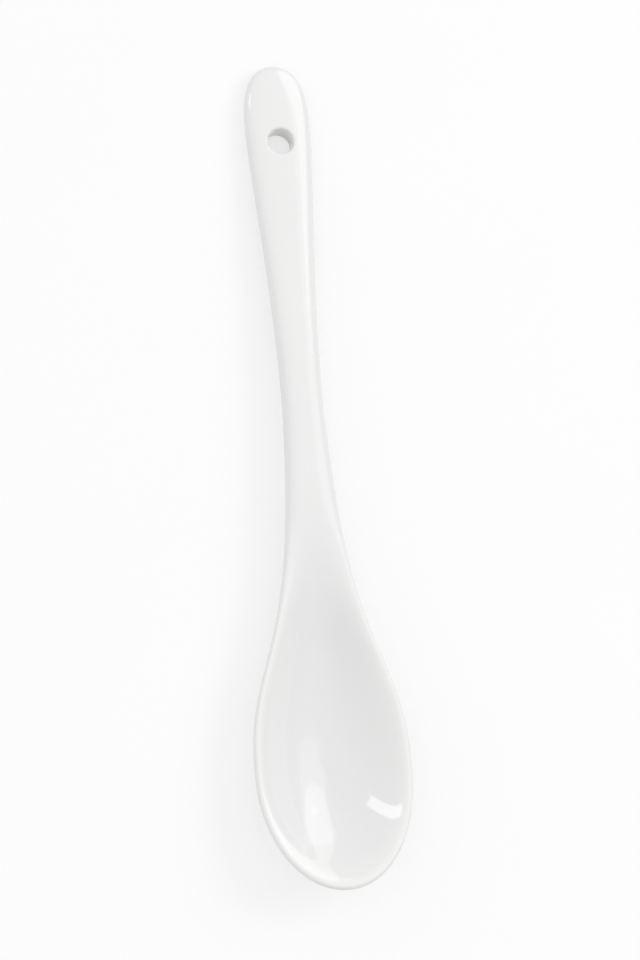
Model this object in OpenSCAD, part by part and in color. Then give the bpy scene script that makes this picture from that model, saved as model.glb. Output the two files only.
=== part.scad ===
// Porcelain tasting spoon with a round hanging hole near the end of its handle.
// It lies on a table with its bowl open upwards. X runs from the bowl tip to the handle end,
// Y runs across and Z is up. The table is at Z = 0. All sizes are in millimetres.

/* [Whole spoon] */
// Length from the bowl tip to the handle end
length = 140; // [115:1:170]
// Thickness of the glaze on every face
glaze_t = 0.25; // [0.15:0.05:0.35]
// Height to which the glaze is wiped off the two places that the spoon stands on
wiped_h = 0.3; // [0.1:0.05:0.5]

/* [Bowl] */
// Width of the bowl at its widest
bowl_w = 26.4; // [22:0.2:32]
// Distance from the tip to the widest place
widest_at = 19.5; // [16:0.5:24]
// Distance from the tip to the place where the bowl's floor starts to climb to the neck
deepest_at = 24; // [20:0.5:30]
// Distance past the widest place at which the sides are halfway in to the neck
shoulder = 24.5; // [20:0.5:30]
// Height of the edge line above the table where the bowl is deepest
rim_h = 7.4; // [6:0.1:10]
// Extra height of the edge line at the tip
tip_rise = 3.5; // [1:0.1:5]
// Thickness of the round rim
rim_t = 1.9; // [1.4:0.1:2.6]
// Thickness of the wall under the hollow
floor_t = 2.1; // [1.5:0.1:3]
// Distance over which the hollow's wall turns down from the rim
hollow_soft = 2.2; // [1:0.1:4]
// Distance over which the underside turns down from the rim
belly_soft = 0.4; // [0.2:0.1:1.5]
// Distance from the tip at which the hollow starts to fade
fade_from = 40; // [34:1:46]
// Distance from the tip at which the hollow has faded out
fade_to = 68; // [60:1:76]

/* [Handle] */
// Width that the sides run in to before the handle widens again
neck_w = 5.5; // [4.5:0.1:7]
// Width that the handle would have at its end if the end were not rounded
end_w = 13.8; // [11:0.2:17]
// Distance from the tip at which the handle starts to widen
widen_from = 80; // [70:1:90]
// How soon the end rounds off
end_round = 5.5; // [4:0.1:7]
// Height of the handle's top above its edge line
crown_h = 2; // [1.2:0.1:2.6]
// Depth of the handle's underside below its edge line
under_h = 2.6; // [2:0.1:3.4]
// How far the handle arches up between its end and the bowl
arch_h = 0.8; // [0:0.1:2]

/* [Hanging hole] */
// Diameter of the hole inside the glaze
hole_d = 4.4; // [3:0.1:5.5]
// Radius of the rounding at each mouth of the hole
lip_r = 0.45; // [0.4:0.05:0.6]
// Distance from the handle end to the middle of the hole
hole_from_end = 13.6; // [10:0.1:18]

/* [Hidden] */

bowl_half = bowl_w / 2;
neck_half = neck_w / 2;
widen_half = (end_w - neck_w) / 2;

// Shape of the outline: fullness of the tip, quickness of the shoulder, curve of the widening
tip_fullness = 2.05;
shoulder_power = 2.8;
widen_power = 1.5;

// Squareness of the handle's rounded section and of the rim's round one, where 2 is an ellipse
handle_square = 2.6;
rim_square = 2;

// The half sections fan out around the tip and around the handle end.
// The tip's fan starts a little past the widest place, and the end's fan a run before the end.
// The foot runs are the stretches of the middle line that the two fans spread from.
fan_past = 7.5;
tip_foot_run = 6;
end_run = 14;
end_foot_run = 5.6;
fan_at = widest_at + fan_past;
cap_from = length - end_run;
rest_at = cap_from + end_foot_run;

// Steps along the spoon and around each half section
tip_steps = 13;
mid_steps = 30;
end_steps = 12;
mid_spread = 1.25;
hollow_steps = 8;
rim_steps = 5;
under_steps = 9;
last_row = tip_steps + mid_steps + end_steps;
last_col = hollow_steps + rim_steps + under_steps;
row_size = last_col + 1;
right_count = (last_row + 1) * row_size;

// Height of the edge line above the table where the handle stands
foot_h = under_h - glaze_t;

// The hole runs square to the edge line, through the middle of the handle's thickness
hole_at = length - hole_from_end;
slope_step = 0.5;
hole_tilt = atan((edge_z(hole_at + slope_step) - edge_z(hole_at - slope_step)) / (2 * slope_step));
handle_t = crown_h + under_h;
hole_z = edge_z(hole_at) + (crown_h - under_h) / 2;
lip_ring_r = hole_d / 2 + lip_r;
lip_z = handle_t / 2 - lip_r;
hole_reach = 2 * handle_t;

body_colour = [0.93, 0.92, 0.90];
glaze_colour = [0.97, 0.97, 0.96];

function blend(a, b, t) = a + (b - a) * t;
function within(t) = max(0, min(1, t));
function ease(t) = within(t) * within(t) * (3 - 2 * within(t));
// Rises from 0 at the edge to 1 at the middle line, upright at the edge and level at the middle
function dome(q, power) = sqrt(max(0, 1 - pow(max(0, 1 - q), power)));
// Rises from 0 at the edge to 1 at the middle line and is level at both. It starts slowly over the soft share
function soft_way(q, soft) = (norm([q, soft]) - soft) / (norm([1, soft]) - soft);
function scoop(q, soft) = 1 - pow(1 - soft_way(q, soft), 2);

// Half width of the outline at a distance from the tip
function tip_part(s) = pow(max(0, 1 - pow(max(0, 1 - s / widest_at), 2)), 1 / tip_fullness);
function waist_part(s) = 1 / (1 + pow(max(0, s - widest_at) / shoulder, shoulder_power));
function widen_part(s) = pow(max(0, s - widen_from) / (length - widen_from), widen_power);
function end_part(s) = sqrt(max(0, 1 - exp((s - length) / end_round)));
function half_w(s) =
    (blend(neck_half, bowl_half, waist_part(s)) * tip_part(s) + widen_half * widen_part(s)) * end_part(s);

// Height of the edge line, which is the rim of the bowl and the side of the handle
function edge_z(s) =
    blend(foot_h, rim_h, (rest_at - s) / (rest_at - deepest_at))
    + arch_h * sin(180 * (s - deepest_at) / (rest_at - deepest_at))
    + tip_rise * pow(max(0, 1 - s / deepest_at), 2);

// How far the section at x has gone over to the handle's underside, and how much of the hollow it still has
function handle_share(x) = ease((x - deepest_at) / (fade_to - deepest_at));
function hollow_share(x) = 1 - ease((x - fade_from) / (fade_to - fade_from));

// Heights along the middle line: underside, floor of the hollow and top of the handle.
// The underside stays level past the place where the handle stands.
function under_z(x) = blend(-glaze_t, edge_z(min(x, rest_at)) - under_h, handle_share(x));
function hollow_z(x) = under_z(x) + floor_t;
function crown_z(x) = edge_z(x) + crown_h;

// Each half section runs from a point on the outline to its foot on the middle line
function row_at(i) =
    i <= tip_steps ? fan_at * (1 - cos(90 * i / tip_steps))
    : i <= tip_steps + mid_steps
        ? blend(fan_at, cap_from, pow((i - tip_steps) / mid_steps, mid_spread))
        : cap_from + end_run * sin(90 * (i - tip_steps - mid_steps) / end_steps);
function foot_at(s) =
    s < fan_at ? fan_at - tip_foot_run * (1 - s / fan_at)
    : s <= cap_from ? s
    : cap_from + end_foot_run * (s - cap_from) / end_run;

// Distance in from the outline of one point of a half section, for a form inset by g.
// The columns run from the top middle over the rim and round to the underside's middle.
function col_angle(j) =
    j <= hollow_steps ? 90 * (hollow_steps - j) / hollow_steps
    : j <= hollow_steps + rim_steps ? 180 * (hollow_steps + rim_steps - j) / rim_steps
    : 90 * (j - hollow_steps - rim_steps) / under_steps;
function inset_at(j, run, g) =
    j <= hollow_steps ? blend(rim_t - g, run, 1 - cos(col_angle(j)))
    : j <= hollow_steps + rim_steps ? blend(g, rim_t / 2, 1 - cos(col_angle(j)))
    : blend(g, run, 1 - cos(col_angle(j)));

// Height of a point of the section that meets the outline at s, for a form inset by g.
// The point is d in from the outline, the share q of the run to the foot, and x from the tip.
function rim_rise(d, g) = (rim_t / 2 - g) * dome(within((d - g) / (rim_t / 2 - g)), rim_square);
function bowl_top(d, q, s, x, run, g) =
    edge_z(s) + rim_rise(d, g) - (edge_z(s) + rim_t / 2 - hollow_z(x)) * scoop(q, hollow_soft / run);
function bowl_under(d, q, s, x, run, g) =
    edge_z(s) - rim_rise(d, g) - (edge_z(s) - rim_t / 2 - under_z(x)) * scoop(q, belly_soft / run);
function handle_top(q, s, x, g) = blend(edge_z(s), crown_z(x) - g, dome(q, handle_square));
function handle_under(q, s, x, g) = blend(edge_z(s), under_z(x) + g, dome(q, handle_square));
function top_z(d, q, s, x, run, g) =
    blend(handle_top(q, s, x, g), bowl_top(d, q, s, x, run, g), hollow_share(x));
function bottom_z(d, q, s, x, run, g) =
    blend(bowl_under(d, q, s, x, run, g), handle_under(q, s, x, g), handle_share(x));

function grid_point(i, j, g) =
    let (
        s = row_at(i),
        f = foot_at(s),
        w = half_w(s),
        run = norm([f - s, w]),
        d = inset_at(j, run, g),
        q = within((d - g) / (run - g)),
        x = blend(s, f, d / run),
        on_plane = i == 0 || i == last_row || j == 0 || j == last_col
    )
    [
        x - length / 2,
        on_plane ? 0 : w * (1 - d / run),
        j <= hollow_steps + rim_steps ? top_z(d, q, s, x, run, g) : bottom_z(d, q, s, x, run, g)
    ];

function mirrored(p) = [p.x, -p.y, p.z];
function right_id(i, j) = i * row_size + j;
function left_id(i, j) =
    i == 0 || i == last_row || j == 0 || j == last_col
        ? right_id(i, j)
        : right_count + (i - 1) * (last_col - 1) + j - 1;

// The diagonals turn by quarter of the grid, so that no triangle lies flat in the plane of symmetry
function turned(i, j) = (i < last_row / 2) != (j < last_col / 2);
function halves(a, b, c, d, turn) = turn ? [[a, b, d], [b, c, d]] : [[a, b, c], [a, c, d]];
function right_faces(i, j) =
    halves(right_id(i, j), right_id(i, j + 1), right_id(i + 1, j + 1), right_id(i + 1, j), turned(i, j));
function left_faces(i, j) =
    halves(left_id(i, j), left_id(i + 1, j), left_id(i + 1, j + 1), left_id(i, j + 1), turned(i, j));

// The whole outside of the spoon without its hole, moved in by g on every side
module spoon_form(g) {
    right = [for (i = [0 : last_row]) for (j = [0 : last_col]) grid_point(i, j, g)];
    left = [for (i = [1 : last_row - 1]) for (j = [1 : last_col - 1]) mirrored(right[right_id(i, j)])];
    faces = [
        for (i = [0 : last_row - 1])
            for (j = [0 : last_col - 1])
                each concat(right_faces(i, j), left_faces(i, j))
    ];
    polyhedron(points = concat(right, left), faces = faces);
}

// Half the outline of the hole, with its mouths rounded, for a wall moved out by g
module hole_outline(g) {
    difference() {
        translate([0, -hole_reach])
            square([lip_ring_r, 2 * hole_reach]);
        translate([hole_d / 2 + g, -lip_z])
            square([lip_r, 2 * lip_z]);
        for (side = [-1, 1])
            translate([lip_ring_r, side * lip_z])
                circle(r = lip_r - g, $fn = 48);
    }
}

module hole_space(g) {
    translate([hole_at - length / 2, 0, hole_z])
        rotate([0, -hole_tilt, 0])
            rotate_extrude($fn = 48)
                hole_outline(g);
}

module body_form() {
    difference() {
        spoon_form(glaze_t);
        hole_space(glaze_t);
    }
}

module porcelain_body() {
    color(body_colour)
        body_form();
}

module glaze_coat() {
    color(glaze_colour)
        difference() {
            spoon_form(0);
            body_form();
            hole_space(0);
            translate([-length, -bowl_w, wiped_h - rim_h])
                cube([2 * length, 2 * bowl_w, rim_h]);
        }
}

porcelain_body();
glaze_coat();
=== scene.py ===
"""Porcelain tasting spoon, dressed for the photograph's view.

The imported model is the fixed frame. Two finely stepped pieces stand for its two nodes: the fired porcelain
body, and the glaze coat that lies over it. Both come from the same formulas of two parameters, the row along
the spoon and the column around its section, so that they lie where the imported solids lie.
"""

import logging
import math
from dataclasses import dataclass, field
from enum import Enum
from typing import Any

import bmesh
import bpy
import numpy as np
from mathutils import Matrix

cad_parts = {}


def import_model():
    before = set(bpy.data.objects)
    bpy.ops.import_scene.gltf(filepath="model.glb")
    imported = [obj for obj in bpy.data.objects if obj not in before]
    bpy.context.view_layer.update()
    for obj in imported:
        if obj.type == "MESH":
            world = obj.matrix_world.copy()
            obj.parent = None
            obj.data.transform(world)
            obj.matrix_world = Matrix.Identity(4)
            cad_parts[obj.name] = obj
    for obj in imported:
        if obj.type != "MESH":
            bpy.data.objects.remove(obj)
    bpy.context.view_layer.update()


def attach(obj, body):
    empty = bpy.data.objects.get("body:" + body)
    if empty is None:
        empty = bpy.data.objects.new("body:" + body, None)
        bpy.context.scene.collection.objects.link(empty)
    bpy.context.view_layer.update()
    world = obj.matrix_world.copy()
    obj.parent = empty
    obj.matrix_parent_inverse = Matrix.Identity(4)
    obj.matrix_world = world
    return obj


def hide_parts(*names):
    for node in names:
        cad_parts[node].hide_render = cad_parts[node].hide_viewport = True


LOG = logging.getLogger("tasting_spoon")
MM = 0.001
IMAGE_HEIGHT = 960
QUARTER = math.pi / 2
# The power of a dome that is a quarter circle.
ROUND = 2.0
# Halvings in the search for a section, which leave no error that a skin's decimals would show.
HALVINGS = 44
# Points of a skin that agree to this many decimals of a millimetre are one.
SKIN_DECIMALS = 4
# Points this near a cut are on it, in metres.
CUT_REACH = 1e-7
# Sockets of a Mix node for colours, by number because their names repeat.
MIX_AMOUNT, MIX_FROM, MIX_TO, MIX_RESULT = 0, 6, 7, 2

Array = np.ndarray
Reals = float | np.ndarray


class Side(Enum):
    """The two faces of the spoon, as the way the hole's axis leans on each."""

    TOP = 1
    UNDER = -1


class LampUse(Enum):
    """What a lamp is for, as whether it lights matt surfaces and whether it shows in the gloss."""

    LIGHT = (True, False)
    GLOSS = (False, True)


class LampShape(Enum):
    """The shapes of a flat lamp, with the share of its rectangle that each fills."""

    RECTANGLE = 1.0
    ELLIPSE = math.pi / 4


def linear(code: str) -> tuple[float, float, float, float]:
    """Turn an sRGB hex colour into a linear one.

    The sRGB curve is a straight line up to 0.04045 and a power of 2.4 above that.

    Args:
        code: Six hex digits.

    Returns:
        Red, green, blue and an alpha of 1.
    """
    parts = np.array([int(code[k : k + 2], 16) for k in (0, 2, 4)]) / 255
    values = np.where(parts <= 0.04045, parts / 12.92, ((parts + 0.055) / 1.055) ** 2.4)
    return float(values[0]), float(values[1]), float(values[2]), 1.0


def blend(a: Reals, b: Reals, t: Reals) -> Reals:
    """Go from a at t = 0 to b at t = 1 in a straight line."""
    return a + (b - a) * t


def ease(t: Reals) -> Reals:
    """Rise from 0 to 1 with level ends: three t squared less two t cubed."""
    held = np.clip(t, 0.0, 1.0)
    return held * held * (3 - 2 * held)


def dome(q: Reals, power: float) -> Reals:
    """Rise from 0 at the edge, upright there, to 1 at the middle, level there.

    The height is the root of one less (1 - q) to the power, so a power of 2 is an ellipse.

    Args:
        q: Share of the way in from the edge.
        power: Squareness of the curve.

    Returns:
        The share of the full height.
    """
    return np.sqrt(np.clip(1 - np.clip(1 - q, 0.0, None) ** power, 0.0, None))


def scoop(q: Reals, soft: Reals) -> Reals:
    """Fall from 0 at the edge, level there, to 1 at the middle, level there.

    The way in starts softly, as the root of q squared plus soft squared, less soft. The fall is then a
    parabola: one less the square of what is left of the way.

    Args:
        q: Share of the way in from the edge.
        soft: Share of the way over which the fall begins.

    Returns:
        The share of the full depth.
    """
    held = np.clip(q, 0.0, 1.0)
    way = (np.sqrt(held**2 + soft**2) - soft) / (np.sqrt(1 + soft**2) - soft)
    return 1 - (1 - way) ** 2


def grid_quads(ids: Array) -> Array:
    """Join a grid of point numbers into four-sided faces.

    Args:
        ids: Point numbers as rows by columns.

    Returns:
        Four point numbers a face.
    """
    corners = (ids[:-1, :-1], ids[1:, :-1], ids[1:, 1:], ids[:-1, 1:])
    return np.stack([corner.ravel() for corner in corners], axis=1)


def facing(right: Array, top: Array, back: Array, place: Array) -> Matrix:
    """Make a placing from an object's own three axes and its place.

    Args:
        right: The object's X.
        top: The object's Y.
        back: The object's Z.
        place: Where it stands, in metres.

    Returns:
        The matrix.
    """
    matrix = np.eye(4)
    matrix[:3, 0], matrix[:3, 1], matrix[:3, 2], matrix[:3, 3] = right, top, back, place
    return Matrix(matrix.tolist())


def add_node(
    tree: bpy.types.NodeTree,
    kind: str,
    inputs: dict[str | int, Any] | None = None,
    **settings: Any,
) -> bpy.types.Node:
    """Add one node to a tree.

    Args:
        tree: The tree that gets the node.
        kind: The node's type name.
        inputs: A value for each named input, or the output socket that it is linked from.
        settings: Properties of the node itself.

    Returns:
        The new node.
    """
    node = tree.nodes.new(kind)
    for name, value in settings.items():
        setattr(node, name, value)
    for name, value in (inputs or {}).items():
        if isinstance(value, bpy.types.NodeSocket):
            tree.links.new(value, node.inputs[name])
        else:
            node.inputs[name].default_value = value
    return node


def node_material(name: str) -> tuple[bpy.types.Material, bpy.types.NodeTree]:
    """Start a material that is made of nodes.

    Args:
        name: The finish's name.

    Returns:
        The material and its tree of nodes.
    """
    material = bpy.data.materials.new(name)
    material.use_nodes = True
    return material, material.node_tree


@dataclass(frozen=True)
class StepCounts:
    """How many steps a skin takes along the spoon and around each half section.

    The first four count rows from the tip to the handle end. The next three count columns from the top's
    middle to the underside's, and the last two count those of the hole's wall.
    """

    tip: int
    mid: int
    mouth: int
    end: int
    hollow: int
    rim: int
    under: int
    lip: int
    wall: int

    @property
    def first_mouth_row(self) -> int:
        """The row at which the half sections start to end on the hole's mouth."""
        return self.tip + self.mid


@dataclass
class Skin:
    """A closed surface in millimetres, with two tones of the glaze at each point."""

    points: Array
    faces: Array
    pool: Array
    thin: Array


@dataclass(frozen=True)
class SpoonForm:
    """The spoon's sizes in millimetres, and the surfaces that follow from them.

    A row is named by the distance s from the tip at which it meets the outline, and by its foot f on the
    middle line. Heights are above the table.
    """

    # The whole spoon, and the coat on it.
    length: float = 140.0
    glaze: float = 0.25
    wiped: float = 0.3
    # The bowl, from the tip to the place where its hollow has faded out.
    bowl_width: float = 26.4
    widest_at: float = 19.5
    deepest_at: float = 24.0
    shoulder: float = 24.5
    shoulder_power: float = 2.8
    tip_fullness: float = 2.05
    rim_height: float = 7.4
    tip_rise: float = 3.5
    rim_thick: float = 1.9
    floor_thick: float = 2.1
    hollow_soft: float = 2.2
    belly_soft: float = 0.4
    fade_from: float = 40.0
    fade_to: float = 68.0
    # The neck and the handle.
    neck_width: float = 5.5
    end_width: float = 13.8
    widen_from: float = 80.0
    widen_power: float = 1.5
    end_round: float = 5.5
    crown: float = 2.0
    under: float = 2.6
    arch: float = 0.8
    handle_square: float = 2.6
    # The hanging hole.
    hole_width: float = 4.4
    lip: float = 0.45
    hole_from_end: float = 13.6
    # How the rows fan round the tip and the handle end, and where they take up the lean of the hole's axis.
    fan_at: float = 27.0
    tip_foot_run: float = 6.0
    end_run: float = 14.0
    end_foot_run: float = 5.6
    mid_spread: float = 1.25
    lean_before_hole: float = 30.0
    lean_run: float = 25.0

    @property
    def cap_from(self) -> float:
        """Where the half sections start to fan round the handle end."""
        return self.length - self.end_run

    @property
    def rest_at(self) -> float:
        """Where the handle stands on the table."""
        return self.cap_from + self.end_foot_run

    @property
    def hole_at(self) -> float:
        """Distance from the tip to the middle of the hole."""
        return self.length - self.hole_from_end

    @property
    def mouth_radius(self) -> float:
        """Radius of the ring at which the hole's rounded mouth meets the handle."""
        return self.hole_width / 2 + self.lip

    @property
    def hole_height(self) -> float:
        """Height of the hole's middle."""
        return float(self.edge_height(self.hole_at)) + (self.crown - self.under) / 2

    @property
    def hole_lean(self) -> float:
        """Work out how the hole's axis leans, square to the edge line: the line's fall over a short step.

        Returns:
            The shift towards the handle end for each millimetre up the axis.
        """
        step = 0.5
        fall = self.edge_height(self.hole_at - step) - self.edge_height(self.hole_at + step)
        return float(fall) / (2 * step)

    def half_width(self, s: Reals) -> Reals:
        """Half the width of the outline: a full tip, a bowl that runs in to the neck, and a rounded end.

        The tip is a root of one less the square of the way left to the widest place. Past that place the bowl
        runs in to the neck as one over one plus a power of the way. The handle widens as a power of the way
        to its end, which closes as the root of one less an exponential that is one there.

        Args:
            s: Distance from the tip.

        Returns:
            The half width.
        """
        tip = np.clip(1 - np.clip(1 - s / self.widest_at, 0, None) ** 2, 0, None) ** (1 / self.tip_fullness)
        waist = 1 / (1 + (np.clip(s - self.widest_at, 0, None) / self.shoulder) ** self.shoulder_power)
        widen = (np.clip(s - self.widen_from, 0, None) / (self.length - self.widen_from)) ** self.widen_power
        end = np.sqrt(np.clip(1 - np.exp((s - self.length) / self.end_round), 0, None))
        sides = blend(self.neck_width / 2, self.bowl_width / 2, waist) * tip
        return (sides + (self.end_width - self.neck_width) / 2 * widen) * end

    def edge_height(self, s: Reals) -> Reals:
        """Height of the edge line: a straight slope, a shallow arch on it, and a lift towards the tip.

        The slope goes from the bowl's deepest place down to the place where the handle stands. The arch is
        half a sine wave between the two, and the lift is the square of the way from the first to the tip.

        Args:
            s: Distance from the tip.

        Returns:
            The height of the bowl's rim line or the handle's side line.
        """
        foot = self.under - self.glaze
        along = (s - self.deepest_at) / (self.rest_at - self.deepest_at)
        lift = self.tip_rise * np.clip(1 - s / self.deepest_at, 0, None) ** 2
        return blend(foot, self.rim_height, 1 - along) + self.arch * np.sin(math.pi * along) + lift

    def handle_share(self, f: Reals) -> Reals:
        """How far the underside has gone over from the bowl's form to the handle's."""
        return ease((f - self.deepest_at) / (self.fade_to - self.deepest_at))

    def hollow_share(self, f: Reals) -> Reals:
        """How much of the bowl's hollow is left."""
        return 1 - ease((f - self.fade_from) / (self.fade_to - self.fade_from))

    def under_height(self, f: Reals) -> Reals:
        """Height of the underside on the middle line, level past the place where the handle stands."""
        held = np.minimum(f, self.rest_at)
        return blend(-self.glaze, self.edge_height(held) - self.under, self.handle_share(f))

    def stations(self, steps: StepCounts) -> Array:
        """Distances from the tip at which the rows meet the outline.

        They are spaced as the cosine round the tip, a little wider row by row along the neck, as the hole's
        circle beside its mouth, and as the sine round the handle end.

        Args:
            steps: The counts of rows.

        Returns:
            One distance a row.
        """
        tip_turn = np.linspace(0, QUARTER, steps.tip, endpoint=False)
        along = np.linspace(0, 1, steps.mid, endpoint=False) ** self.mid_spread
        mouth_turn = np.linspace(0, QUARTER, steps.mouth, endpoint=False)
        end_turn = np.linspace(0, QUARTER, steps.end + 1)
        return np.concatenate(
            [
                self.fan_at * (1 - np.cos(tip_turn)),
                blend(self.fan_at, self.hole_at - self.mouth_radius, along),
                self.hole_at - self.mouth_radius * np.cos(mouth_turn),
                self.hole_at + self.hole_from_end * np.sin(end_turn),
            ]
        )

    def mouth_turns(self, s: Array) -> Array:
        """Angle round the hole at which a row ends, from 0 on the bowl's side to half a turn at the end.

        Beside the hole a row lies square across, so the angle's cosine is the row's distance over the radius.
        Beyond the hole a row points at its middle, so the angle is that of the row's outline point.

        Args:
            s: Distances of the rows that end on the mouth.

        Returns:
            The angles.
        """
        beside = np.arccos(np.clip((self.hole_at - s) / self.mouth_radius, -1, 1))
        beyond = math.pi - np.arctan2(self.half_width(s), s - self.hole_at)
        return np.where(s < self.hole_at, beside, beyond)

    def inner_ends(self, s: Array, steps: StepCounts, side: Side) -> Array:
        """Plan points at which the rows end, on the middle line or on the circle of the hole's mouth.

        Round the tip the ends draw together, in proportion to the rows' distances. Near the hole they shift
        with the lean of its axis, by half the handle's thickness up or down it.

        Args:
            s: Distances of the rows.
            steps: The counts of rows.
            side: The face, because the hole's axis leans.

        Returns:
            An x and a y for each row.
        """
        x, y = s.copy(), np.zeros_like(s)
        x[: steps.tip] = self.fan_at - self.tip_foot_run * (1 - s[: steps.tip] / self.fan_at)
        turns = self.mouth_turns(s[steps.first_mouth_row :])
        x[steps.first_mouth_row :] = self.hole_at - self.mouth_radius * np.cos(turns)
        y[steps.first_mouth_row :] = self.mouth_radius * np.sin(turns)
        lean = side.value * self.hole_lean * (self.crown + self.under) / 2
        x += lean * ease((s - self.hole_at + self.lean_before_hole) / self.lean_run)
        return np.stack([x, y], axis=1)

    def section_through(self, x: Array, y: Array) -> tuple[Array, Array]:
        """Find the outline distance and the foot of the half section that passes through plan points.

        Along the neck a section lies square across. Round the tip and round the end the sections fan out,
        and the one through a point is found by halving its place in the fan.

        Args:
            x: Distances from the tip.
            y: Distances from the middle line.

        Returns:
            The outline distances s and the feet f.
        """
        at_tip, at_end = x < self.fan_at, x > self.cap_from
        low, high = np.zeros_like(x), np.ones_like(x)
        s, f = x, x
        for _ in range(HALVINGS):
            half = (low + high) / 2
            s = np.where(
                at_tip,
                self.fan_at * (1 - np.cos(half * QUARTER)),
                self.cap_from + self.end_run * np.sin(half * QUARTER),
            )
            f = np.where(
                at_tip,
                self.fan_at - self.tip_foot_run * np.cos(half * QUARTER),
                self.cap_from + self.end_foot_run * np.sin(half * QUARTER),
            )
            short = (x - f) * self.half_width(s) > y * (s - f)
            low, high = np.where(short, half, low), np.where(short, high, half)
        fanned = at_tip | at_end
        return np.where(fanned, s, x), np.where(fanned, f, x)

    def heights(self, x: Array, y: Array, inset: float, side: Side) -> Array:
        """Heights of the spoon's top or underside over plan points.

        In the bowl the surface is the edge line, plus or less a round rim, less a scoop of the way in. On the
        handle it goes from the edge line to the middle line's height as a dome of the way in. The two are
        blended where the hollow fades.

        Args:
            x: Distances from the tip.
            y: Distances from the middle line.
            inset: How far the surface lies inside the glazed one.
            side: The face.

        Returns:
            The heights.
        """
        s, f = self.section_through(x, y)
        reach = np.hypot(s - f, self.half_width(s))
        inward = reach - np.hypot(x - f, y) - inset
        q = inward / (reach - inset)
        half_rim = self.rim_thick / 2
        rim = (half_rim - inset) * dome(np.clip(inward / (half_rim - inset), 0, 1), ROUND)
        edge, low = self.edge_height(s), self.under_height(x)
        if side is Side.TOP:
            fall = edge + half_rim - low - self.floor_thick
            bowl = edge + rim - fall * scoop(q, self.hollow_soft / reach)
            crown = self.edge_height(x) + self.crown - inset
            return blend(blend(edge, crown, dome(q, self.handle_square)), bowl, self.hollow_share(x))
        bowl = edge - rim - (edge - half_rim - low) * scoop(q, self.belly_soft / reach)
        return blend(bowl, blend(edge, low + inset, dome(q, self.handle_square)), self.handle_share(x))

    def half_skin(self, inset: float, steps: StepCounts) -> tuple[Array, Array, Array]:
        """Work out the grid over one half, from the top's middle over the rim to the underside's middle.

        Each row runs from its outline point in to its inner end. The columns over the hollow and those over
        the underside are spaced as a cosine, and those over the rim as a half circle.

        Args:
            inset: How far the surface lies inside the glazed one.
            steps: The counts of rows and columns.

        Returns:
            The points, the pooled tone and the thin tone, each as rows by columns.
        """
        s = self.stations(steps)
        outline = np.stack([s, self.half_width(s)], axis=1)
        hollow_turn = np.linspace(QUARTER, 0, steps.hollow + 1)[None, :]
        rim_turn = np.linspace(math.pi, 0, steps.rim + 1)[None, 1:]
        under_turn = np.linspace(0, QUARTER, steps.under + 1)[None, 1:]
        halves = []
        for side in Side:
            ends = self.inner_ends(s, steps, side)
            run = np.hypot(*(ends - outline).T)[:, None]
            if side is Side.TOP:
                hollow_in = blend(self.rim_thick - inset, run, 1 - np.cos(hollow_turn))
                rim_in = blend(inset, self.rim_thick / 2, 1 - np.cos(rim_turn)) * np.ones_like(run)
                way = np.concatenate([hollow_in, rim_in], axis=1) / run
            else:
                way = blend(inset, run, 1 - np.cos(under_turn)) / run
            plan = outline[:, None, :] + (ends - outline)[:, None, :] * way[:, :, None]
            z = self.heights(plan[..., 0], plan[..., 1], inset, side)
            halves.append(np.concatenate([plan, z[:, :, None]], axis=2))
        share = self.hollow_share(s)[:, None]
        pool = share * np.concatenate([np.sin(hollow_turn) ** 2, 0 * rim_turn, 0 * under_turn], axis=1)
        thin = share * np.concatenate([0 * hollow_turn, np.sin(rim_turn) ** 2, 0 * under_turn], axis=1)
        return np.concatenate(halves, axis=1), pool, thin

    def half_lining(self, grid: Array, inset: float, steps: StepCounts) -> tuple[Array, Array]:
        """Work out the wall of half the hole, from the lower mouth up to the upper one.

        Each mouth is a quarter circle that turns from the handle's face into the straight wall.

        Args:
            grid: The half skin's points, whose inner ends are the two mouths.
            inset: How far the surface lies inside the glazed one.
            steps: The counts of rows and columns.

        Returns:
            The points as rows by columns, and how thin the glaze lies on them.
        """
        s = self.stations(steps)[steps.first_mouth_row :]
        turns = self.mouth_turns(s)[:, None]
        above, below = grid[steps.first_mouth_row :, 0], grid[steps.first_mouth_row :, -1]
        bore, lip = self.hole_width / 2 + inset, self.lip - inset
        lip_turn = np.linspace(0, QUARTER, steps.lip + 1)[None, :]
        lip_up, lip_out = lip * (1 - np.cos(lip_turn)), lip * (1 - np.sin(lip_turn))
        wall_way = np.linspace(0, 1, steps.wall + 1)[None, 1:-1]
        low, high = below[:, 2:], above[:, 2:]
        straight = blend(low + lip, high - lip, wall_way)
        z = np.concatenate([low + lip_up, straight, (high - lip_up)[:, ::-1]], axis=1)
        rounded = np.concatenate([lip_out, 0 * wall_way, lip_out[:, ::-1]], axis=1)
        radius = bore + rounded * np.ones_like(z)
        x = self.hole_at + self.hole_lean * (z - self.hole_height) - radius * np.cos(turns)
        points = np.stack([x, radius * np.sin(turns), z], axis=2)
        points[:, 0], points[:, -1] = below, above
        return points, np.sin(np.clip(rounded / self.lip, 0, 1) * math.pi) * np.ones_like(z)

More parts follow.
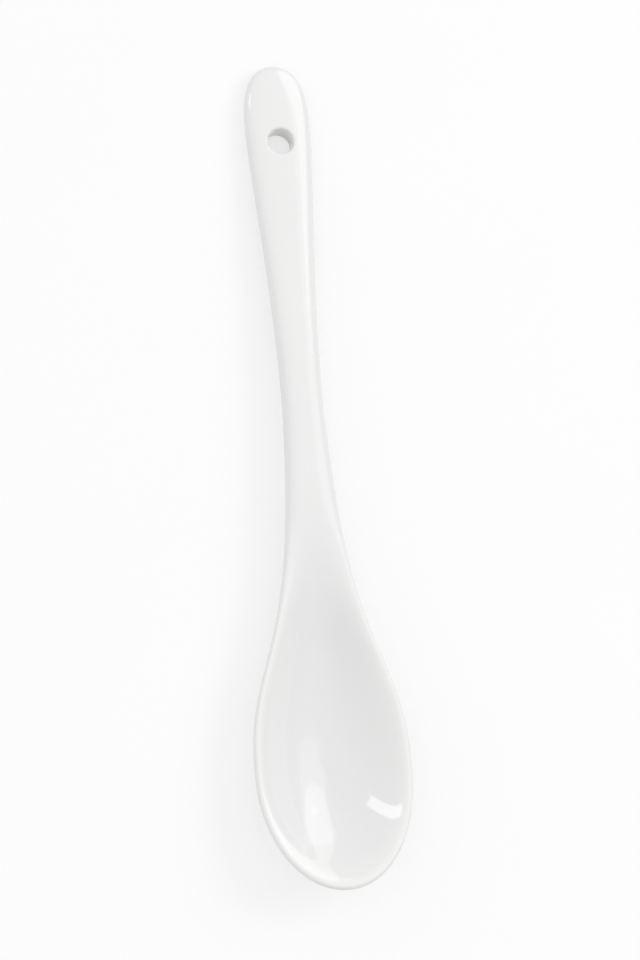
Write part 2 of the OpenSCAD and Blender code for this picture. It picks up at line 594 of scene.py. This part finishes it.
    def skin(self, inset: float, steps: StepCounts) -> Skin:
        """Close the two halves and the hole's wall into one surface with its faces outwards.

        Args:
            inset: How far the surface lies inside the glazed one.
            steps: The counts of rows and columns.

        Returns:
            The closed skin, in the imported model's frame.
        """
        grid, pool, thin = self.half_skin(inset, steps)
        lining, lining_thin = self.half_lining(grid, inset, steps)
        ids = np.arange(grid.shape[0] * grid.shape[1]).reshape(grid.shape[:2])
        wall_ids = ids.size + np.arange(lining.shape[0] * lining.shape[1]).reshape(lining.shape[:2])
        quads = np.concatenate([grid_quads(ids), grid_quads(wall_ids)])
        right = np.concatenate([grid.reshape(-1, 3), lining.reshape(-1, 3)])
        points = np.concatenate([right, right * (1, -1, 1)]) - (self.length / 2, 0, 0)
        faces = np.concatenate([quads, quads[:, ::-1] + len(right)])
        rounded = np.round(points, SKIN_DECIMALS)
        _, first, merged = np.unique(rounded, axis=0, return_index=True, return_inverse=True)
        pool_all = np.concatenate([pool.ravel(), np.zeros(wall_ids.size)])
        thin_all = np.concatenate([thin.ravel(), lining_thin.ravel()])
        return Skin(
            points=points[first],
            faces=merged.ravel()[faces],
            pool=np.tile(pool_all, 2)[first],
            thin=np.tile(thin_all, 2)[first],
        )


def mesh_from_skin(name: str, skin: Skin) -> bpy.types.Mesh:
    """Put a skin into a mesh in metres, with its two tones as attributes.

    Args:
        name: The mesh's name.
        skin: The surface in millimetres.

    Returns:
        The mesh, smooth all over.
    """
    mesh = bpy.data.meshes.new(name)
    mesh.from_pydata((skin.points * MM).tolist(), [], skin.faces.tolist())
    for tone, values in (("pool", skin.pool), ("thin", skin.thin)):
        mesh.attributes.new(tone, "FLOAT", "POINT").data.foreach_set("value", values.astype(np.float32))
    mesh.polygons.foreach_set("use_smooth", np.ones(len(mesh.polygons), dtype=bool))
    mesh.update()
    return mesh


def placed(name: str, mesh: bpy.types.Mesh, material: bpy.types.Material) -> bpy.types.Object:
    """Make an object of a mesh with one material, at the origin.

    Args:
        name: The object's name.
        mesh: Its mesh, which has its place in its points.
        material: The material of all its faces.

    Returns:
        The object, in the scene.
    """
    mesh.materials.append(material)
    obj = bpy.data.objects.new(name, mesh)
    bpy.context.scene.collection.objects.link(obj)
    return obj


@dataclass(frozen=True)
class GlazedPorcelain:
    """Hard porcelain under a clear gloss glaze, dipped and fired.

    To the eye it is a clean, neutral white with a wet shine. The glaze ripples very slightly, pools a shade
    greyer in the hollow, draws thin and a little whiter on the rim, and holds a few tiny pin specks.
    """

    name: str = "glazed_porcelain"
    white: str = "EEEEEE"
    white_cloud: str = "F1F1F0"
    pooled: str = "EBEBEB"
    drawn_thin: str = "F2F2F1"
    speck: str = "D6D5D2"
    roughness: float = 0.055
    roughness_swing: float = 0.25
    ior: float = 1.58
    cloud_mm: float = 18.0
    ripple_mm: float = 7.0
    ripple_height_mm: float = 0.012
    speck_spacing_mm: float = 4.0
    # Real pin specks are about 0.1 mm across. They are drawn at 0.3 mm so that a render shows them.
    speck_mm: float = 0.3
    speck_core: float = 0.5
    speck_strength: float = 0.3

    def tint(self, tree: bpy.types.NodeTree, place: bpy.types.NodeSocket) -> bpy.types.NodeSocket:
        """Lay the clouds, the two tones of the glaze and the pin specks over the white, in turn.

        Args:
            tree: The material's tree of nodes.
            place: The socket of the object's coordinates.

        Returns:
            The socket of the colour.
        """
        cloud = add_node(
            tree, "ShaderNodeTexNoise", {"Vector": place, "Scale": 1 / (self.cloud_mm * MM), "Detail": 2.0}
        )
        pool = add_node(tree, "ShaderNodeAttribute", attribute_name="pool")
        thin = add_node(tree, "ShaderNodeAttribute", attribute_name="thin")
        cells = add_node(
            tree, "ShaderNodeTexVoronoi", {"Vector": place, "Scale": 1 / (self.speck_spacing_mm * MM)}
        )
        speck_reach = self.speck_mm / 2 / self.speck_spacing_mm
        spot = add_node(
            tree,
            "ShaderNodeMapRange",
            {
                "Value": cells.outputs["Distance"],
                "From Min": speck_reach,
                "From Max": speck_reach * self.speck_core,
                "To Max": self.speck_strength,
            },
        )
        colour: Any = linear(self.white)
        for amount, code in (
            (cloud.outputs["Fac"], self.white_cloud),
            (pool.outputs["Fac"], self.pooled),
            (thin.outputs["Fac"], self.drawn_thin),
            (spot.outputs["Result"], self.speck),
        ):
            layer = {MIX_AMOUNT: amount, MIX_FROM: colour, MIX_TO: linear(code)}
            colour = add_node(tree, "ShaderNodeMix", layer, data_type="RGBA").outputs[MIX_RESULT]
        return colour

    def material(self) -> bpy.types.Material:
        """Build the node material.

        Returns:
            The glaze's material.
        """
        material, tree = node_material(self.name)
        shader = tree.nodes["Principled BSDF"]
        place = add_node(tree, "ShaderNodeTexCoord").outputs["Object"]
        tree.links.new(self.tint(tree, place), shader.inputs["Base Color"])
        ripple = add_node(
            tree, "ShaderNodeTexNoise", {"Vector": place, "Scale": 1 / (self.ripple_mm * MM), "Detail": 1.5}
        )
        gloss = add_node(
            tree,
            "ShaderNodeMapRange",
            {
                "Value": ripple.outputs["Fac"],
                "To Min": self.roughness * (1 - self.roughness_swing),
                "To Max": self.roughness * (1 + self.roughness_swing),
            },
        )
        tree.links.new(gloss.outputs["Result"], shader.inputs["Roughness"])
        bump = add_node(
            tree, "ShaderNodeBump", {"Height": ripple.outputs["Fac"], "Distance": self.ripple_height_mm * MM}
        )
        tree.links.new(bump.outputs["Normal"], shader.inputs["Normal"])
        shader.inputs["IOR"].default_value = self.ior
        return material


@dataclass(frozen=True)
class BarePorcelain:
    """Fired porcelain with the glaze wiped off it.

    To the eye it is a chalky, slightly warm white with a fine dry grain, a little grey where it stood.
    """

    name: str = "bare_fired_porcelain"
    white: str = "ECE7DE"
    rubbed: str = "D8D2C8"
    roughness: float = 0.62
    roughness_swing: float = 0.1
    ior: float = 1.5
    # The real grain is about 0.05 mm. It is drawn at 0.4 mm so that a render shows it.
    grain_mm: float = 0.4
    grain_height_mm: float = 0.03
    grain_strength: float = 0.8
    rub_mm: float = 3.0
    # Levels of the rub's noise at which the grey sets in and is full.
    rub_from: float = 0.45
    rub_full: float = 0.75

    def material(self) -> bpy.types.Material:
        """Build the node material.

        Returns:
            The bare body's material.
        """
        material, tree = node_material(self.name)
        shader = tree.nodes["Principled BSDF"]
        place = add_node(tree, "ShaderNodeTexCoord").outputs["Object"]
        rub = add_node(
            tree, "ShaderNodeTexNoise", {"Vector": place, "Scale": 1 / (self.rub_mm * MM), "Detail": 5.0}
        )
        greyed = add_node(
            tree,
            "ShaderNodeMapRange",
            {"Value": rub.outputs["Fac"], "From Min": self.rub_from, "From Max": self.rub_full},
        )
        layer = {
            MIX_AMOUNT: greyed.outputs["Result"],
            MIX_FROM: linear(self.white),
            MIX_TO: linear(self.rubbed),
        }
        colour = add_node(tree, "ShaderNodeMix", layer, data_type="RGBA")
        tree.links.new(colour.outputs[MIX_RESULT], shader.inputs["Base Color"])
        grain = add_node(
            tree, "ShaderNodeTexNoise", {"Vector": place, "Scale": 1 / (self.grain_mm * MM), "Detail": 3.0}
        )
        dry = add_node(
            tree,
            "ShaderNodeMapRange",
            {
                "Value": grain.outputs["Fac"],
                "To Min": self.roughness - self.roughness_swing,
                "To Max": self.roughness + self.roughness_swing,
            },
        )
        tree.links.new(dry.outputs["Result"], shader.inputs["Roughness"])
        bump = add_node(
            tree,
            "ShaderNodeBump",
            {
                "Height": grain.outputs["Fac"],
                "Distance": self.grain_height_mm * MM,
                "Strength": self.grain_strength,
            },
        )
        tree.links.new(bump.outputs["Normal"], shader.inputs["Normal"])
        shader.inputs["IOR"].default_value = self.ior
        return material


@dataclass
class PorcelainBody:
    """The moulded body under the glaze, which shows where the spoon stands."""

    form: SpoonForm
    finish: BarePorcelain
    steps: StepCounts

    def build(self) -> bpy.types.Object:
        """Make the body as a closed skin one glaze thickness inside the spoon.

        Returns:
            The body, in place of its node.
        """
        mesh = mesh_from_skin("porcelain_body_mesh", self.form.skin(self.form.glaze, self.steps))
        body = placed("fired_body", mesh, self.finish.material())
        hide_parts("porcelain_body")
        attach(body, "root")
        return body


@dataclass
class GlazeCoat:
    """The glaze: an outer skin and an inner one, open at the two wiped standing places."""

    form: SpoonForm
    finish: GlazedPorcelain
    outer_steps: StepCounts
    inner_steps: StepCounts

    def shell(self) -> Skin:
        """Lay the outer skin and the turned inner skin together.

        Returns:
            Both skins as one surface of two shells.
        """
        outer = self.form.skin(0.0, self.outer_steps)
        inner = self.form.skin(self.form.glaze, self.inner_steps)
        return Skin(
            points=np.concatenate([outer.points, inner.points]),
            faces=np.concatenate([outer.faces, inner.faces[:, ::-1] + len(outer.points)]),
            pool=np.concatenate([outer.pool, inner.pool]),
            thin=np.concatenate([outer.thin, inner.thin]),
        )

    def wipe(self, mesh: bpy.types.Mesh) -> None:
        """Cut the coat off level below the wiped height and close the cut between its two skins.

        Args:
            mesh: The coat's mesh, which is changed.
        """
        work = bmesh.new()
        work.from_mesh(mesh)
        bmesh.ops.bisect_plane(
            work,
            geom=work.verts[:] + work.edges[:] + work.faces[:],
            dist=CUT_REACH,
            plane_co=(0, 0, self.form.wiped * MM),
            plane_no=(0, 0, -1),
            clear_outer=True,
        )
        cut = [edge for edge in work.edges if edge.is_boundary]
        filled = bmesh.ops.triangle_fill(work, use_beauty=True, edges=cut, normal=(0, 0, -1))
        bands = [part for part in filled["geom"] if isinstance(part, bmesh.types.BMFace)]
        bmesh.ops.reverse_faces(work, faces=[band for band in bands if band.normal.z > 0])
        for edge in cut:
            edge.smooth = False
        still_open = sum(edge.is_boundary for edge in work.edges)
        LOG.info("wiped edge: %d edges, %d faces, open edges left %d", len(cut), len(bands), still_open)
        work.to_mesh(mesh)
        work.free()

    def build(self) -> bpy.types.Object:
        """Make the coat with its wiped places.

        Returns:
            The coat, in place of its node.
        """
        mesh = mesh_from_skin("glaze_coat_mesh", self.shell())
        self.wipe(mesh)
        coat = placed("glaze", mesh, self.finish.material())
        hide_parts("glaze_coat")
        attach(coat, "root")
        return coat


@dataclass(frozen=True)
class PaintedBoard:
    """Matt white painted board for the floor, with a faint roller mottle.

    The spoon is lit from below by the board's own white. To the camera and in reflections the board is a
    darker paint that glows, so that it reads as a white background and the spoon's shadow on it stays soft.
    """

    name: str = "painted_board"
    white: str = "E4E4E4"
    shown: str = "A0A0A0"
    shown_mottle: str = "A2A2A2"
    mottle_mm: float = 40.0
    glow: float = 0.63

    def material(self) -> bpy.types.Material:
        """Build the node material.

        Returns:
            The floor's material.
        """
        material, tree = node_material(self.name)
        tree.nodes.remove(tree.nodes["Principled BSDF"])
        place = add_node(tree, "ShaderNodeTexCoord").outputs["Object"]
        path = add_node(tree, "ShaderNodeLightPath")
        seen = path.outputs["Is Camera Ray"]
        for ray in ("Is Glossy Ray", "Is Transmission Ray"):
            either = add_node(tree, "ShaderNodeMath", {0: seen, 1: path.outputs[ray]}, operation="MAXIMUM")
            seen = either.outputs[0]
        mottle = add_node(tree, "ShaderNodeTexNoise", {"Vector": place, "Scale": 1 / (self.mottle_mm * MM)})
        mottled = {
            MIX_AMOUNT: mottle.outputs["Fac"],
            MIX_FROM: linear(self.shown),
            MIX_TO: linear(self.shown_mottle),
        }
        shown = add_node(tree, "ShaderNodeMix", mottled, data_type="RGBA").outputs[MIX_RESULT]
        by_ray = {MIX_AMOUNT: seen, MIX_FROM: linear(self.white), MIX_TO: shown}
        colour = add_node(tree, "ShaderNodeMix", by_ray, data_type="RGBA").outputs[MIX_RESULT]
        paint = add_node(tree, "ShaderNodeBsdfDiffuse", {"Color": colour})
        strength = add_node(tree, "ShaderNodeMath", {0: seen, 1: self.glow}, operation="MULTIPLY")
        glow = add_node(tree, "ShaderNodeEmission", {"Strength": strength.outputs[0]})
        both = add_node(tree, "ShaderNodeAddShader", {0: paint.outputs[0], 1: glow.outputs[0]})
        tree.links.new(both.outputs[0], tree.nodes["Material Output"].inputs["Surface"])
        return material


@dataclass
class StudioFloor:
    """The plain pale floor that the spoon lies on, with its half size in metres."""

    finish: PaintedBoard
    half_size: float = 1.5

    def build(self) -> bpy.types.Object:
        """Lay the floor level at the table's height.

        Returns:
            The floor.
        """
        corners = np.array([(-1, -1, 0), (1, -1, 0), (1, 1, 0), (-1, 1, 0)]) * self.half_size
        mesh = bpy.data.meshes.new("floor_mesh")
        mesh.from_pydata(corners.tolist(), [], [(0, 1, 2, 3)])
        floor = placed("floor", mesh, self.finish.material())
        return floor


@dataclass(frozen=True)
class SoftBox:
    """A flat lamp with a diffuser, in metres: its middle, and its long and short sides as vectors."""

    name: str
    middle: tuple[float, float, float]
    long_side: tuple[float, float, float]
    short_side: tuple[float, float, float]
    brightness: float
    shape: LampShape = LampShape.RECTANGLE
    use: LampUse = LampUse.GLOSS

    def build(self) -> bpy.types.Object:
        """Hang the lamp with its diffuser on the side that faces the spoon.

        The power is the brightness times pi times the area, so the brightness is what a mirror would show. An
        ellipse has a quarter of pi of its rectangle's area.

        Returns:
            The lamp.
        """
        length, width = np.linalg.norm(self.long_side), np.linalg.norm(self.short_side)
        along = np.array(self.long_side) / length
        away = np.cross(along, self.short_side)
        away /= math.copysign(np.linalg.norm(away), away @ np.array(self.middle))
        lamp = bpy.data.lights.new(self.name, "AREA")
        lamp.shape = self.shape.name
        lamp.size, lamp.size_y = length, width
        lamp.energy = self.brightness * math.pi * length * width * self.shape.value
        obj = bpy.data.objects.new(self.name, lamp)
        bpy.context.scene.collection.objects.link(obj)
        obj.matrix_world = facing(along, np.cross(away, along), away, np.array(self.middle))
        obj.visible_camera = False
        obj.visible_diffuse, obj.visible_glossy = self.use.value
        return obj


@dataclass
class StudioLight:
    """White surroundings that are brightest overhead, a broad lamp, and boxes that show in the glaze.

    The surroundings' level and gains are strengths, of which 1 is white.
    """

    around: float = 0.387
    top_gain: float = 0.479
    side_gain: float = 0.336
    end_gain: float = 0.246
    boxes: list[SoftBox] = field(
        default_factory=lambda: [
            SoftBox(
                "broad_box",
                middle=(0.17, -0.70, 0.70),
                long_side=(0.49, 0.12, 0.0),
                short_side=(-0.08, 0.34, 0.36),
                brightness=3.07,
                use=LampUse.LIGHT,
            ),
            SoftBox(
                "key_box",
                middle=(0.33, -0.56, 0.45),
                long_side=(0.67, 0.30, -0.68),
                short_side=(0.01, 0.58, 0.22),
                brightness=0.6,
            ),
            SoftBox(
                "core_box",
                middle=(0.48, -0.48, 0.30),
                long_side=(0.51, 0.23, -0.52),
                short_side=(0.01, 0.51, 0.19),
                brightness=1.0,
                shape=LampShape.ELLIPSE,
            ),
            SoftBox(
                "bulb_glow",
                middle=(0.357, -0.468, 0.267),
                long_side=(0.040, 0.075, 0.067),
                short_side=(0.046, 0.010, -0.055),
                brightness=0.8,
                shape=LampShape.ELLIPSE,
            ),
            SoftBox(
                "side_box",
                middle=(0.45, 0.57, 0.35),
                long_side=(0.056, 0.056, -0.16),
                short_side=(-0.084, 0.077, 0.0),
                brightness=2.85,
            ),
        ]
    )

    def build(self) -> None:
        """Set the world and hang the lamps.

        The world's strength is the level around, plus a gain for each axis times how far the direction leans
        to that axis's upper half: towards the handle's end, towards one side and overhead.
        """
        world = bpy.data.worlds.new("studio")
        bpy.context.scene.world = world
        world.use_nodes = True
        tree = world.node_tree
        way = add_node(
            tree, "ShaderNodeSeparateXYZ", {0: add_node(tree, "ShaderNodeTexCoord").outputs["Generated"]}
        )
        level: float | bpy.types.NodeSocket = self.around
        for axis, gain in (("X", self.end_gain), ("Y", self.side_gain), ("Z", self.top_gain)):
            lean = add_node(tree, "ShaderNodeMath", {0: way.outputs[axis], 1: 0.0}, operation="MAXIMUM")
            level = add_node(
                tree, "ShaderNodeMath", {0: lean.outputs[0], 1: gain, 2: level}, operation="MULTIPLY_ADD"
            ).outputs[0]
        tree.links.new(level, tree.nodes["Background"].inputs["Strength"])
        tree.nodes["Background"].inputs["Color"].default_value = (1.0, 1.0, 1.0, 1.0)
        for box in self.boxes:
            box.build()


@dataclass(frozen=True)
class PhotoCamera:
    """The photograph's view: a long lens almost straight above the lying spoon.

    Pitch and yaw lean the camera off the upright, and roll turns the picture, in radians. Lengths are in
    millimetres and the focal length is in pixels of the photograph.
    """

    target: tuple[float, float, float] = (-1.436, -1.849, 6.0)
    distance: float = 856.0
    pitch: float = 0.1455
    yaw: float = 0.2084
    roll: float = -0.078
    focal: float = 5152.0
    sensor: float = 36.0
    nearest: float = 10.0
    farthest: float = 20000.0

    def build(self) -> bpy.types.Object:
        """Make the camera and give it to the scene.

        Returns:
            The camera.
        """
        back = np.array([-math.tan(self.pitch), math.tan(self.yaw), 1.0])
        back /= np.linalg.norm(back)
        side = np.cross(-back, (1.0, 0.0, 0.0))
        side /= np.linalg.norm(side)
        up = np.cross(side, -back)
        right = math.cos(self.roll) * side + math.sin(self.roll) * up
        top = math.cos(self.roll) * up - math.sin(self.roll) * side
        data = bpy.data.cameras.new("photo_camera")
        data.sensor_fit = "VERTICAL"
        data.sensor_height = self.sensor
        data.lens = self.focal * self.sensor / IMAGE_HEIGHT
        data.clip_start, data.clip_end = self.nearest * MM, self.farthest * MM
        camera = bpy.data.objects.new("photo_camera", data)
        bpy.context.scene.collection.objects.link(camera)
        camera.matrix_world = facing(right, top, back, (np.array(self.target) + back * self.distance) * MM)
        bpy.context.scene.camera = camera
        return camera


def main() -> None:
    """Load the frame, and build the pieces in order."""
    logging.basicConfig(level=logging.INFO, format="%(name)s: %(message)s")
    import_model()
    PhotoCamera().build()
    form = SpoonForm()
    fine = StepCounts(tip=44, mid=110, mouth=16, end=30, hollow=44, rim=14, under=40, lip=6, wall=6)
    plain = StepCounts(tip=24, mid=60, mouth=10, end=18, hollow=22, rim=8, under=20, lip=4, wall=3)
    for piece in (
        PorcelainBody(form, BarePorcelain(), plain),
        GlazeCoat(form, GlazedPorcelain(), fine, plain),
    ):
        built = piece.build()
        LOG.info("%s: %d faces", built.name, len(built.data.polygons))
    StudioFloor(PaintedBoard()).build()
    StudioLight().build()
    bpy.context.scene.view_settings.view_transform = "Standard"


if __name__ == "__main__":
    main()
